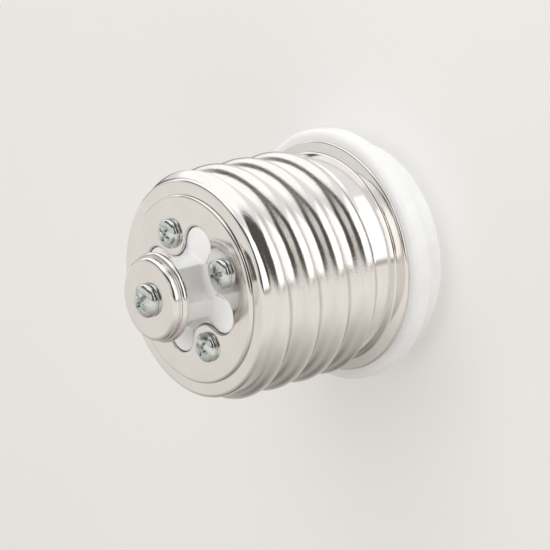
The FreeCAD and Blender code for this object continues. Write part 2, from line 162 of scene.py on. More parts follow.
def evenly_along(points, count):
    """The same closed outline with its points at even steps, starting from the first."""
    loop = np.concatenate([points, points[:1]])
    steps = np.hypot(*(loop[1:] - loop[:-1]).T)
    along = np.concatenate([[0.0], np.cumsum(steps)])
    wanted = np.arange(count) * along[-1] / count
    return np.stack([np.interp(wanted, along, loop[:, 0]), np.interp(wanted, along, loop[:, 1])], axis=1)


def soft_max(a, b, blend):
    """The larger of two distances, with a rounded meeting."""
    share = np.clip(0.5 + 0.5 * (a - b) / blend, 0.0, 1.0)
    return a * share + b * (1 - share) + blend * share * (1 - share)


def ray_outline(distance, reach, count, dense=2880):
    """The outline where a distance is zero, found along rays from the axis."""
    angles = np.arange(dense) * 2 * math.pi / dense
    low = np.zeros(dense)
    high = np.full(dense, reach)
    for _ in range(40):
        middle = (low + high) / 2
        outside = distance(middle * np.cos(angles), middle * np.sin(angles)) > 0
        high = np.where(outside, middle, high)
        low = np.where(outside, low, middle)
    points = np.stack([low * np.cos(angles), low * np.sin(angles)], axis=1)
    return evenly_along(points, count)


def post_outline(grow, count):
    """Four ribs with a round flute over each screw."""
    rib_reach, flute_circle, flute_radius, meeting = 6.2, 6.1, 2.9, 0.35
    quarters = (0, math.pi / 2, math.pi, -math.pi / 2)
    flutes = [(flute_circle * math.cos(a), flute_circle * math.sin(a)) for a in quarters]

    def distance(x, y):
        cut = np.maximum.reduce([flute_radius - np.hypot(x - fx, y - fy) for fx, fy in flutes])
        return soft_max(np.hypot(x, y) - rib_reach, cut, meeting) - grow
    return ray_outline(distance, 9.0, count)


def clover_outline(grow, count):
    """The four-lobed opening: tabs curve in round the screws and lobes bulge out between them."""
    corner = LOBE_CIRCLE * math.cos(math.pi / 4)
    lobe = math.hypot(SCREW_CIRCLE - corner, LOBE_CIRCLE * math.sin(math.pi / 4)) - TAB_RADIUS

    def distance(x, y):
        x, y = np.abs(x), np.abs(y)
        x, y = np.maximum(x, y), np.minimum(x, y)
        tab = TAB_RADIUS - np.hypot(x - SCREW_CIRCLE, y)
        bulge = np.hypot(x - corner, y - corner) - lobe
        inner = (y - corner) * (SCREW_CIRCLE - corner) + (x - corner) * corner < 0
        return np.where(inner, tab, bulge) - grow
    return ray_outline(distance, 14.0, count)


def outline_ring(outline, height):
    """An outline as a ring of points at one height."""
    return np.column_stack([outline, np.full(len(outline), height)])


# Node trees

def calc(tree, operation, a, b=None, c=None):
    """One Math node; numbers and sockets both serve as its inputs."""
    node = tree.nodes.new("ShaderNodeMath")
    node.operation = operation
    for slot, value in zip(node.inputs, (a, b, c)):
        if value is None:
            continue
        if isinstance(value, bpy.types.NodeSocket):
            tree.links.new(value, slot)
        else:
            slot.default_value = value
    return node.outputs[0]


def kept_within(tree, value, low, high):
    """A value that goes no lower and no higher than its limits."""
    return calc(tree, "MINIMUM", calc(tree, "MAXIMUM", value, low), high)


def joined(tree, x, y, z):
    """A vector from three numbers or sockets."""
    node = tree.nodes.new("ShaderNodeCombineXYZ")
    for slot, value in zip(node.inputs, (x, y, z)):
        if isinstance(value, bpy.types.NodeSocket):
            tree.links.new(value, slot)
        else:
            slot.default_value = value
    return node.outputs[0]


def parts_of(tree, vector):
    """The three parts of a vector."""
    node = tree.nodes.new("ShaderNodeSeparateXYZ")
    tree.links.new(vector, node.inputs[0])
    return node.outputs


def shape_tree(name, sizes):
    """A Geometry Nodes tree with one input for each named size and one for its finish."""
    tree = bpy.data.node_groups.new(name, "GeometryNodeTree")
    tree.interface.new_socket("Geometry", in_out="INPUT", socket_type="NodeSocketGeometry")
    for label, size in sizes.items():
        kind = "NodeSocketInt" if isinstance(size, int) else "NodeSocketFloat"
        tree.interface.new_socket(label, in_out="INPUT", socket_type=kind).default_value = size
    tree.interface.new_socket("Finish", in_out="INPUT", socket_type="NodeSocketMaterial")
    tree.interface.new_socket("Geometry", in_out="OUTPUT", socket_type="NodeSocketGeometry")
    return tree, tree.nodes.new("NodeGroupInput").outputs


def end_tree(tree, given, shape):
    """Makes a tree's copies real and gives them their finish."""
    real = tree.nodes.new("GeometryNodeRealizeInstances")
    coat = tree.nodes.new("GeometryNodeSetMaterial")
    result = tree.nodes.new("NodeGroupOutput")
    tree.links.new(shape, real.inputs["Geometry"])
    tree.links.new(real.outputs["Geometry"], coat.inputs["Geometry"])
    tree.links.new(given["Finish"], coat.inputs["Material"])
    tree.links.new(coat.outputs["Geometry"], result.inputs["Geometry"])


def grown(start, tree, material, **sizes):
    """Runs a tree on a starting mesh and keeps the result as a plain mesh."""
    maker = bpy.data.objects.new(tree.name, start)
    bpy.context.scene.collection.objects.link(maker)
    nodes = maker.modifiers.new(tree.name, "NODES")
    nodes.node_group = tree
    wanted = dict(sizes, Finish=material)
    for socket in tree.interface.items_tree:
        if socket.in_out == "INPUT" and socket.name in wanted:
            nodes[socket.identifier] = wanted[socket.name]
    graph = bpy.context.evaluated_depsgraph_get()
    mesh = bpy.data.meshes.new_from_object(
        maker.evaluated_get(graph), preserve_all_data_layers=True, depsgraph=graph)
    maker.modifiers.clear()
    bpy.data.objects.remove(maker)
    return mesh


def rolled_thread_tree():
    """Rolls the knuckle thread into a plain sheet: crest arcs and equal root arcs on a right-hand helix."""
    tree, given = shape_tree("rolled_thread", {
        "Pitch": 6.35, "Depth": 1.8, "Crest Radius": 19.65, "First Crest": 37.65,
        "Neck Radius": NECK_RADIUS, "Thread Foot": THREAD_FOOT, "Run In": 2.2, "Run In Rise": 1.95,
        "Entry Height": 38.9, "Entry Round": 4.5, "Entry Radius": 20.15,
        "Rim Radius": 18.4, "Rim Foot": 36.8, "Blend": 0.25, "Front Foot": 35.0, "Front Blend": 0.75})
    do = partial(calc, tree)
    x, y, z = parts_of(tree, tree.nodes.new("GeometryNodeInputPosition").outputs[0])
    angle = do("ARCTAN2", y, x)
    height = do("MULTIPLY", z, 1 / MM)
    above_foot = do("MAXIMUM", do("SUBTRACT", height, given["Thread Foot"]), 0.0)
    past_foot = kept_within(tree, above_foot, 0.0, 1.0)

    # Crests and roots are arcs of one radius, which meet a quarter of the pitch from each.
    quarter = do("DIVIDE", given["Pitch"], 4.0)
    half = do("DIVIDE", given["Pitch"], 2.0)
    squares = do("ADD", do("POWER", half, 2.0), do("POWER", given["Depth"], 2.0))
    arc = do("DIVIDE", squares, do("MULTIPLY", given["Depth"], 4.0))
    climb = do("DIVIDE", do("SUBTRACT", height, given["First Crest"]), given["Pitch"])
    turns = do("SUBTRACT", climb, do("DIVIDE", angle, 2 * math.pi))
    from_crest = do("MULTIPLY", do("ABSOLUTE", do("WRAP", turns, 0.5, -0.5)), given["Pitch"])

    def arc_fall(distance):
        reach = do("POWER", do("MINIMUM", distance, quarter), 2.0)
        return do("SUBTRACT", arc, do("SQRT", do("SUBTRACT", do("POWER", arc, 2.0), reach)))

    crest = do("SUBTRACT", given["Crest Radius"], arc_fall(from_crest))
    root = do("SUBTRACT", given["Crest Radius"], given["Depth"])
    root = do("ADD", root, arc_fall(do("SUBTRACT", half, from_crest)))
    on_crest = do("LESS_THAN", from_crest, quarter)
    thread = do("MULTIPLY_ADD", on_crest, do("SUBTRACT", crest, root), root)

    # The thread grows out of the neck at its foot and is rounded off at its entry.
    run_in = kept_within(tree, do("DIVIDE", above_foot, given["Run In"]), 0.0, 1.0)
    run_in = do("MULTIPLY_ADD", run_in, given["Run In Rise"], given["Neck Radius"])
    past = do("ADD", do("SUBTRACT", height, given["Entry Height"]), given["Entry Round"])
    past = kept_within(tree, past, 0.0, 4.45)
    round_off = do("SUBTRACT", do("POWER", given["Entry Round"], 2.0), do("POWER", past, 2.0))
    entry = do("SUBTRACT", given["Entry Radius"], given["Entry Round"])
    entry = do("ADD", entry, do("SQRT", round_off))
    blend = do("MULTIPLY", past_foot, given["Blend"])
    body = do("SMOOTH_MIN", thread, do("MINIMUM", run_in, entry), blend)

    # Its roots never sink under the neck or under the rim that carries the front.
    neck = do("SUBTRACT", given["Neck Radius"], do("MULTIPLY", above_foot, 0.5))
    rim = do("MINIMUM", do("SUBTRACT", height, given["Rim Foot"]), 0.0)
    rim = do("ADD", given["Rim Radius"], rim)
    wide = kept_within(tree, do("SUBTRACT", height, given["Front Foot"]), 0.0, 1.0)
    wide = do("MULTIPLY_ADD", wide, given["Front Blend"], blend)
    radius = do("MULTIPLY", do("SMOOTH_MAX", body, do("MAXIMUM", neck, rim), wide), MM)

    mask = tree.nodes.new("GeometryNodeInputNamedAttribute")
    mask.data_type = "FLOAT"
    mask.inputs["Name"].default_value = "rolled"
    rolled = mask.outputs["Attribute"]
    moved = joined(tree, do("MULTIPLY", do("COSINE", angle), radius), do("MULTIPLY", do("SINE", angle), radius), z)
    place = tree.nodes.new("GeometryNodeSetPosition")
    tree.links.new(given["Geometry"], place.inputs["Geometry"])
    tree.links.new(do("GREATER_THAN", rolled, 0.5), place.inputs["Selection"])
    tree.links.new(moved, place.inputs["Position"])

    # The rolls leave their grain on the thread, most of it on the flanks.
    flank = do("DIVIDE", do("ABSOLUTE", do("SUBTRACT", from_crest, quarter)), quarter)
    flank = do("SUBTRACT", 1.0, flank)
    zone = do("MULTIPLY", rolled, kept_within(tree, do("SUBTRACT", 38.0, height), 0.0, 1.0))
    zone = do("MULTIPLY", zone, past_foot)
    grain = tree.nodes.new("GeometryNodeStoreNamedAttribute")
    grain.data_type = "FLOAT"
    grain.domain = "POINT"
    grain.inputs["Name"].default_value = "rolling_grain"
    tree.links.new(place.outputs["Geometry"], grain.inputs["Geometry"])
    tree.links.new(do("MULTIPLY", zone, do("MULTIPLY_ADD", flank, 0.75, 0.25)), grain.inputs["Value"])
    end_tree(tree, given, grain.outputs["Geometry"])
    return tree


def ring_of_fasteners_tree():
    """Sets copies of one screw or nut on a circle round the axis, each with its own turn."""
    tree, given = shape_tree("ring_of_fasteners", {
        "Count": 4, "Circle Radius": SCREW_CIRCLE, "First Turn": 0.0, "Turn Step": math.pi / 2})
    circle = tree.nodes.new("GeometryNodeMeshCircle")
    tree.links.new(given["Count"], circle.inputs["Vertices"])
    tree.links.new(calc(tree, "MULTIPLY", given["Circle Radius"], MM), circle.inputs["Radius"])
    number = tree.nodes.new("GeometryNodeInputIndex").outputs[0]
    turn = calc(tree, "MULTIPLY_ADD", number, given["Turn Step"], given["First Turn"])
    copies = tree.nodes.new("GeometryNodeInstanceOnPoints")
    tree.links.new(circle.outputs["Mesh"], copies.inputs["Points"])
    tree.links.new(given["Geometry"], copies.inputs["Instance"])
    tree.links.new(joined(tree, 0.0, 0.0, turn), copies.inputs["Rotation"])
    end_tree(tree, given, copies.outputs["Instances"])
    return tree


# Pieces

def shell_start():
    """Large screw shell as one closed sheet, before its thread is rolled in."""
    sides = 360
    lip = circle_rings(sides, eased([
        (17.35, SHELL_SEAT, 0), (LIP_RADIUS, SHELL_SEAT, 0.08), (LIP_RADIUS, 9.46, 0.42),
        (NECK_RADIUS, 10.25, 0.35), (NECK_RADIUS, 12.0, 0)], steps=6)[:-1])
    lip += [circle_ring(sides, NECK_RADIUS, height) for height in (11.0, 12.6, 14.3)]
    rolled = [circle_ring(sides, NECK_RADIUS, height) for height in np.linspace(14.45, 38.5, 176)]
    bend = 0.65
    corner = [circle_ring(sides, 17.75 + bend * math.cos(a), 38.55 + bend * math.sin(a))
              for a in np.radians(np.arange(0, 91, 11.25))]
    front = circle_rings(sides, [Vector(point) for point in (
        (17.6, SHELL_TOP), (15.0, SHELL_TOP), (FRONT_OPENING, SHELL_TOP), (FRONT_OPENING, CORE_TOP),
        (17.2, CORE_TOP), (SHELL_BORE, CORE_TOP - 0.2), (SHELL_BORE, 24.0), (SHELL_BORE, 10.0))])
    mesh = ring_mesh("mogul_shell_skin", lip + rolled + corner + front)
    mask = mesh.attributes.new("rolled", "FLOAT", "POINT")
    marked = np.zeros(len(mesh.vertices), dtype=np.float32)
    marked[len(lip) * sides:(len(lip) + len(rolled)) * sides] = 1.0
    mask.data.foreach_set("value", marked)
    return mesh


def plate_mesh():
    """Stamped end plate with a rolled outer edge and the four-lobed opening."""
    sides = 384
    low = SHELL_TOP + 0.01
    rings = circle_rings(sides, eased([
        (13.0, low, 0), (PLATE_RADIUS, low, 0.03), (PLATE_RADIUS, PLATE_TOP, 0.53), (13.0, PLATE_TOP, 0)]))
    for grow, height in ((0.5, PLATE_TOP), (0.2, PLATE_TOP), (0.09, PLATE_TOP - 0.02), (0.02, PLATE_TOP - 0.09),
                         (0.0, PLATE_TOP - 0.2), (0.0, SHELL_TOP + 0.1), (0.0, low), (0.5, low)):
        rings.append(outline_ring(clover_outline(grow, sides), height))
    return ring_mesh("end_plate_skin", rings)


def core_mesh():
    """Moulded core: socket hollow, spigot, flange, body inside the shell, boss and ribbed post."""
    sides = 288
    rings = circle_rings(sides, eased([
        (7.3, 24.0, 0), (7.3, 24.95, 0.1), (14.0, 24.95, 0), (14.0, 2.45, 0), (15.1, 2.45, 0), (15.1, 2.0, 0),
        (SPIGOT_RADIUS, 2.0, 0.2), (SPIGOT_RADIUS, COLLAR_TOP, 0), (FLANGE_RADIUS, COLLAR_TOP, 0.5),
        (FLANGE_RADIUS, FLANGE_TOP, 1.1), (17.2, FLANGE_TOP, 0), (17.2, CORE_TOP, 1.1), (12.5, CORE_TOP, 0)]))
    for grow, height in ((0.1, CORE_TOP), (-0.15, CORE_TOP + 0.05), (-0.15, BOSS_TOP - 0.3),
                         (-0.19, BOSS_TOP - 0.12), (-0.3, BOSS_TOP - 0.02), (-0.5, BOSS_TOP)):
        rings.append(outline_ring(clover_outline(grow, sides), height))
    foot = 0.6
    for k in range(7):
        swing = math.radians(90 * k / 6)
        outline = post_outline(foot * (1 - math.sin(swing)), sides)
        rings.append(outline_ring(outline, BOSS_TOP + foot * (1 - math.cos(swing))))
    for grow, height in ((0.0, BOSS_TOP + 3.0), (0.0, CAP_SEAT - 2.0), (0.0, CAP_SEAT - 0.5), (-0.5, CAP_SEAT)):
        rings.append(outline_ring(post_outline(grow, sides), height))
    stud_hole = 2.25
    rings += [circle_ring(sides, stud_hole, height) for height in (CAP_SEAT, 24.0)]
    return ring_mesh("core_body_skin", rings)


def collar_mesh():
    """Mouth ring of the collar with its inner lip."""
    return ring_mesh("collar_ring_skin", circle_rings(256, eased([
        (14.7, 0, 0.15), (COLLAR_RADIUS, 0, 0.8), (COLLAR_RADIUS, COLLAR_TOP, 0.25), (16.6, COLLAR_TOP, 0),
        (16.6, 2.0, 0), (14.1, 2.0, 0.1), (14.1, 0.6, 0.1)])))


def cap_mesh():
    """End contact: drawn cup with a rolled bead round its foot and a screw hole."""
    return ring_mesh("contact_cap_skin", circle_rings(192, eased([
        (6.32, 45.45, 0.1), (BEAD_RADIUS, 45.45, 0.5), (BEAD_RADIUS, 46.75, 0.55), (CAP_RADIUS, 46.75, 0.12),
        (CAP_RADIUS, CAP_TOP, 0.75), (1.65, CAP_TOP, 0.1),
        (1.65, CAP_SEAT + 0.02, 0), (6.32, CAP_SEAT + 0.02, 0)])))


def recess_reach(x, y, radius, width):
    """How far inside a cross-shaped recess a point of the head lies."""
    across = np.minimum(np.abs(x), np.abs(y))
    along = np.maximum(np.abs(x), np.abs(y))
    return np.minimum(width / 2 - across, radius - along)


def screw_mesh(shank, head_radius, head, seat, tip):
    """A pan head screw standing on the Z axis, with a cross recess and a plain shank."""
    sides = 192
    angles = np.arange(sides) * 2 * math.pi / sides
    side = seat + head * 0.30
    dome = seat + head - side
    rings = [circle_ring(sides, shank - 0.4, tip), circle_ring(sides, shank, tip + 0.4)]
    rings += circle_rings(sides, [Vector(point) for point in (
        (shank, seat - 0.3), (shank, seat), (head_radius * 0.95, seat), (head_radius * 0.985, seat + 0.04),
        (head_radius, seat + 0.12), (head_radius, side - 0.04))])

    # The recess is deepest at the axis, and its walls slope in over less than half an arm's width.
    cut, arm, depth = head_radius * 0.64, head_radius * 0.36, head * 0.72
    levels, roundness = 46, 0.94
    for k in range(levels):
        swing = (math.pi / 2) * k / levels
        radius = head_radius * math.cos(swing) ** roundness
        height = side + dome * math.sin(swing) ** roundness
        x = radius * np.cos(angles)
        y = radius * np.sin(angles)
        reach = np.clip(recess_reach(x, y, cut, arm) / (arm * 0.42), 0, 1)
        sunk = reach * reach * (3 - 2 * reach) * depth * max(0.0, 1 - 0.5 * radius / cut)
        rings.append(np.stack([x, y, height - sunk], axis=1))
    return ring_mesh("pan_head_screw", rings, closed=False)


def nut_mesh(flats, bore, low, high):
    """A hexagon nut on the Z axis with a flat facing +X, its outer corners turned off."""
    sides = 96
    angles = np.arange(sides) * 2 * math.pi / sides
    hexagon = flats / 2 / np.cos((angles + math.pi / 6) % (math.pi / 3) - math.pi / 6)

    def ring(reach, height):
        radius = np.minimum(hexagon, reach)
        return np.stack([radius * np.cos(angles), radius * np.sin(angles), np.full(sides, height)], axis=1)
    outside = [ring(flats * 0.48, low), ring(flats * 0.535, low + 0.2), ring(flats, low + 0.5),
               ring(flats, high - 0.12), ring(flats * 0.56, high)]
    inside = [circle_ring(sides, bore + 0.2, high), circle_ring(sides, bore, high - 0.2),
              circle_ring(sides, bore, low + 0.2)]
    return ring_mesh("hexagon_nut", [circle_ring(sides, bore + 0.2, low)] + outside + inside)


# Finishes

def new_material(name):
    """A fresh material, its tree and its Principled shader."""
    material = bpy.data.materials.new(name)
    material.use_nodes = True
    return material, material.node_tree, material.node_tree.nodes["Principled BSDF"]


def blended(tree, share, under, over):
    """Two colours mixed by a share; colours and sockets both serve."""
    node = tree.nodes.new("ShaderNodeMix")
    node.data_type = "RGBA"
    for slot, value in ((node.inputs[0], share), (node.inputs[6], under), (node.inputs[7], over)):
        if isinstance(value, bpy.types.NodeSocket):
            tree.links.new(value, slot)
        elif isinstance(value, tuple):
            slot.default_value = (*value, 1.0)
        else:
            slot.default_value = value
    return node.outputs[2]


def soft_step(tree, value, low, high):
    """Rises smoothly from 0 to 1 between two levels."""
    node = tree.nodes.new("ShaderNodeMapRange")
    node.interpolation_type = "SMOOTHSTEP"
    tree.links.new(value, node.inputs["Value"])
    for name, number in (("From Min", low), ("From Max", high), ("To Min", 0.0), ("To Max", 1.0)):
        if isinstance(number, bpy.types.NodeSocket):
            tree.links.new(number, node.inputs[name])
        else:
            node.inputs[name].default_value = number
    return node.outputs["Result"]


def noise(tree, place, scale, detail=2.0, roughness=0.5):
    """A cloudy texture at a place."""
    node = tree.nodes.new("ShaderNodeTexNoise")
    tree.links.new(place, node.inputs["Vector"])
    for name, value in (("Scale", scale), ("Detail", detail), ("Roughness", roughness)):
        if isinstance(value, bpy.types.NodeSocket):
            tree.links.new(value, node.inputs[name])
        else:
            node.inputs[name].default_value = value
    return node.outputs["Fac"]


def finish_group(name, inputs, outputs):
    """A shader node group with a place input, numbers by name and numbers out."""
    group = bpy.data.node_groups.new(name, "ShaderNodeTree")
    group.interface.new_socket("Place", in_out="INPUT", socket_type="NodeSocketVector")
    for label in inputs:
        group.interface.new_socket(label, in_out="INPUT", socket_type="NodeSocketFloat")
    for label in outputs:
        group.interface.new_socket(label, in_out="OUTPUT", socket_type="NodeSocketFloat")
    return group, group.nodes.new("NodeGroupInput").outputs, group.nodes.new("NodeGroupOutput").inputs


def turned_marks_group():
    """Node group: fine marks that run round the adapter's axis, as tools leave on turned and drawn metal."""
    group, given, result = finish_group("turned_marks", ("Rows", "Wander"), ("Mark",))
    x, y, z = parts_of(group, given["Place"])
    do = partial(calc, group)
    radius = do("SQRT", do("ADD", do("POWER", x, 2.0), do("POWER", y, 2.0)))
    radius = do("MAXIMUM", radius, 1e-5)
    row = do("MULTIPLY", do("ADD", radius, do("MULTIPLY", z, 1.3)), given["Rows"])
    around = [do("MULTIPLY", do("DIVIDE", part, radius), given["Wander"]) for part in (x, y)]
    lines = noise(group, joined(group, around[0], around[1], row), 1.0, 3.0, 0.6)
    group.links.new(soft_step(group, lines, 0.34, 0.66), result["Mark"])
    return group


def handled_group():
    """Node group: slow clouds of handling and tarnish, and a fine grain, over any surface."""
    group, given, result = finish_group("handled_surface", ("Cloud Scale", "Grain Scale"), ("Cloud", "Grain"))
    cloud = noise(group, given["Place"], given["Cloud Scale"], 3.0, 0.55)
    group.links.new(soft_step(group, cloud, 0.36, 0.64), result["Cloud"])
    group.links.new(noise(group, given["Place"], given["Grain Scale"], 2.0, 0.6), result["Grain"])
    return group


def placed(tree, group, **numbers):
    """A shared group on the piece's own coordinates, with its numbers set by name."""
    node = tree.nodes.new("ShaderNodeGroup")
    node.node_tree = group
    tree.links.new(tree.nodes.new("ShaderNodeTexCoord").outputs["Object"], node.inputs["Place"])
    for name, value in numbers.items():
        node.inputs[name.replace("_", " ")].default_value = value
    return node.outputs


def bumped(tree, shader, height, depth):
    """Raises a surface by a height, to a depth in metres."""
    node = tree.nodes.new("ShaderNodeBump")
    node.inputs["Strength"].default_value = 1.0
    node.inputs["Distance"].default_value = depth
    tree.links.new(height, node.inputs["Height"])
    tree.links.new(node.outputs["Normal"], shader.inputs["Normal"])


def nickel_plate(name, marks, handled, rows, smooth, grain):
    """Bright nickel: marks round the axis, clouded sheen, and rolling grain on the thread's flanks."""
    material, tree, shader = new_material(name)
    mark = placed(tree, marks, Rows=rows, Wander=1.6)["Mark"]
    touch = placed(tree, handled, Cloud_Scale=150.0, Grain_Scale=4500.0)
    rolled = tree.nodes.new("ShaderNodeAttribute")
    rolled.attribute_name = "rolling_grain"
    rolling = rolled.outputs["Fac"]
    colour = blended(tree, touch["Cloud"], (0.815, 0.790, 0.758), (0.850, 0.826, 0.796))
    colour = blended(tree, calc(tree, "MULTIPLY", mark, 0.5), colour, (0.800, 0.776, 0.748))
    tree.links.new(colour, shader.inputs["Base Color"])
    shader.inputs["Metallic"].default_value = 1.0
    rough = calc(tree, "MULTIPLY_ADD", mark, 0.035, smooth)
    rough = calc(tree, "MULTIPLY_ADD", touch["Cloud"], 0.02, rough)
    tree.links.new(calc(tree, "MULTIPLY_ADD", rolling, 0.05, rough), shader.inputs["Roughness"])
    rolled_height = calc(tree, "MULTIPLY", calc(tree, "MULTIPLY", rolling, grain), touch["Grain"])
    bumped(tree, shader, calc(tree, "MULTIPLY_ADD", mark, 0.06, rolled_height), 1e-5)
    return material


def zinc_plate(name, handled):
    """Bright zinc with a cool bloom, patchy sheen and small tool dents."""
    material, tree, shader = new_material(name)
    touch = placed(tree, handled, Cloud_Scale=900.0, Grain_Scale=5200.0)
    colour = blended(tree, touch["Cloud"], (0.640, 0.680, 0.665), (0.760, 0.785, 0.790))
    colour = blended(tree, soft_step(tree, touch["Grain"], 0.56, 0.75), colour, (0.560, 0.600, 0.540))
    tree.links.new(colour, shader.inputs["Base Color"])
    shader.inputs["Metallic"].default_value = 1.0
    tree.links.new(calc(tree, "MULTIPLY_ADD", touch["Cloud"], 0.08, 0.08), shader.inputs["Roughness"])
    bumped(tree, shader, calc(tree, "ADD", touch["Grain"], touch["Cloud"]), 5e-6)
    return material


def white_moulding(name, handled):
    """White thermoplastic: satin skin with slow flow clouds and a fine mould grain."""
    material, tree, shader = new_material(name)
    touch = placed(tree, handled, Cloud_Scale=210.0, Grain_Scale=2600.0)
    colour = blended(tree, touch["Cloud"], (0.885, 0.885, 0.880), (0.915, 0.917, 0.914))
    tree.links.new(colour, shader.inputs["Base Color"])
    tree.links.new(calc(tree, "MULTIPLY_ADD", touch["Grain"], 0.16, 0.24), shader.inputs["Roughness"])
    bumped(tree, shader, calc(tree, "MULTIPLY_ADD", touch["Cloud"], 0.5, touch["Grain"]), 6e-6)
    return material


def plain_brass(name, marks, handled):
    """Rolled brass strip: fine lines, warm tarnish in clouds."""
    material, tree, shader = new_material(name)
    mark = placed(tree, marks, Rows=2600.0, Wander=1.2)["Mark"]
    touch = placed(tree, handled, Cloud_Scale=380.0, Grain_Scale=3600.0)
    colour = blended(tree, touch["Cloud"], (0.740, 0.570, 0.280), (0.800, 0.645, 0.350))
    colour = blended(tree, calc(tree, "MULTIPLY", mark, 0.4), colour, (0.640, 0.470, 0.220))
    tree.links.new(colour, shader.inputs["Base Color"])
    shader.inputs["Metallic"].default_value = 1.0
    tree.links.new(calc(tree, "MULTIPLY_ADD", touch["Grain"], 0.22, 0.14), shader.inputs["Roughness"])
    bumped(tree, shader, calc(tree, "ADD", mark, touch["Grain"]), 6e-6)
    return material


# Camera, floor and light

def place_camera():
    """The photograph's long lens, above the end contact, rolled so the adapter lies on its side."""
    data = bpy.data.cameras.new("camera")
    data.sensor_width = 36.0
    data.lens = 144.0
    data.clip_start = 0.01
    data.clip_end = 20.0
    camera = bpy.data.objects.new("camera", data)
    bpy.context.scene.collection.objects.link(camera)
    eye = Vector((-0.03777, -0.29018, 0.25379))
    forward = Vector((0.0984, 0.7770, -0.6217)).normalized()
    up = Vector((0.9439, -0.2707, -0.1890))
    right = forward.cross(up).normalized()
    up = right.cross(forward).normalized()
    turn = Matrix((right, up, -forward)).transposed()
    camera.matrix_world = Matrix.Translation(eye) @ turn.to_4x4()
    bpy.context.scene.camera = camera


def pale_floor():
    """A plain pale floor, which shines a little towards the camera alone and keeps the adapter's shadow."""
    size, glow = 3.0, 0.19
    corners = [(-size, -size, 0), (size, -size, 0), (size, size, 0), (-size, size, 0)]
    mesh = bpy.data.meshes.new("floor")
    mesh.from_pydata(corners, [], [(0, 1, 2, 3)])
    floor = bpy.data.objects.new("floor", mesh)
    bpy.context.scene.collection.objects.link(floor)
    material, tree, shader = new_material("pale_floor")
    cloud = noise(tree, tree.nodes.new("ShaderNodeTexCoord").outputs["Object"], 9.0, 3.0)
    colour = blended(tree, cloud, (0.655, 0.642, 0.627), (0.680, 0.668, 0.653))
    tree.links.new(colour, shader.inputs["Base Color"])
    shader.inputs["Roughness"].default_value = 0.9
    shader.inputs["Emission Color"].default_value = (1.0, 0.985, 0.965, 1.0)
    seen = tree.nodes.new("ShaderNodeLightPath").outputs["Is Camera Ray"]
    tree.links.new(calc(tree, "MULTIPLY", seen, glow), shader.inputs["Emission Strength"])
    mesh.materials.append(material)
    floor.visible_glossy = False
    floor.visible_diffuse = False
    floor.visible_shadow = False


def fill_lamp():
    """A wide soft lamp by the camera for the white mouldings; bright metal doesn't mirror it."""
    data = bpy.data.lights.new("fill_lamp", "AREA")
    data.shape = "RECTANGLE"
    data.size = data.size_y = 0.7
    data.energy = 2.0
    lamp = bpy.data.objects.new("fill_lamp", data)
    bpy.context.scene.collection.objects.link(lamp)
    lamp.location = studio_direction(222, 32) * 0.62
    lamp.rotation_euler = lamp.location.to_track_quat("Z", "Y").to_euler()
    lamp.visible_glossy = False


# The studio round the adapter, as its reflections in the photograph show it. The adapter lay on its
# side there, so directions are written along three axes of their own.
STUDIO_UP = Vector((0.892, -0.449, -0.034)).normalized()
STUDIO_RIGHT = Vector((-0.315, -0.568, -0.760)).normalized()
STUDIO_BACK = Vector((0.322, 0.689, -0.648)).normalized()

# Levels round the studio: what the camera sees past the floor, the ground from its edge to straight
# below with a painted shadow of the adapter on it that turns grey and then dark towards one spot, the
# backdrop from its foot up, the line where they meet, and the glow overhead.
SEEN_BACKDROP = (0.760, 0.738, 0.708)
GROUND_PALE = (0.900, 0.876, 0.842)
# Painted shadow: the grey and the dark levels of the adapter's own shadow on the ground.
GROUND_PAINTED_SHADOW = (0.440, 0.415, 0.390)
GROUND_PAINTED_CONTACT_SHADOW = (0.22, 0.20, 0.185)
BACKDROP_FOOT = (0.75, 0.735, 0.72)
BACKDROP_TOP = (0.89, 0.893, 0.90)
HORIZON_LINE = (0.33, 0.31, 0.29)
OVERHEAD_GLOW = (1.22, 1.22, 1.22)

# Each panel: degrees round, degrees up, half width, half height and edge as slopes, and its level.
STUDIO_PANELS = (
    (188, 29, 0.74, 0.56, 0.05, (0.095, 0.089, 0.084)),
    (254, 36, 0.84, 0.19, 0.06, (0.130, 0.122, 0.115)),
    (348, 4, 0.22, 0.15, 0.08, (0.130, 0.122, 0.115)),
    (212, 17, 0.20, 0.25, 0.05, (0.85, 0.83, 0.81)),
    (108, 30, 0.72, 0.50, 0.06, (1.45, 1.45, 1.45)),
)


def studio_direction(around, above):
    """A direction from the adapter: degrees to the right from straight behind, and degrees up."""
    a, e = math.radians(around), math.radians(above)
    level = STUDIO_BACK * math.cos(a) + STUDIO_RIGHT * math.sin(a)
    return level * math.cos(e) + STUDIO_UP * math.sin(e)


def dot_with(tree, vector, other):
    """How far one vector goes along another."""
    node = tree.nodes.new("ShaderNodeVectorMath")
    node.operation = "DOT_PRODUCT"
    tree.links.new(vector, node.inputs[0])
    if isinstance(other, bpy.types.NodeSocket):
        tree.links.new(other, node.inputs[1])
    else:
        node.inputs[1].default_value = other
    return node.outputs["Value"]


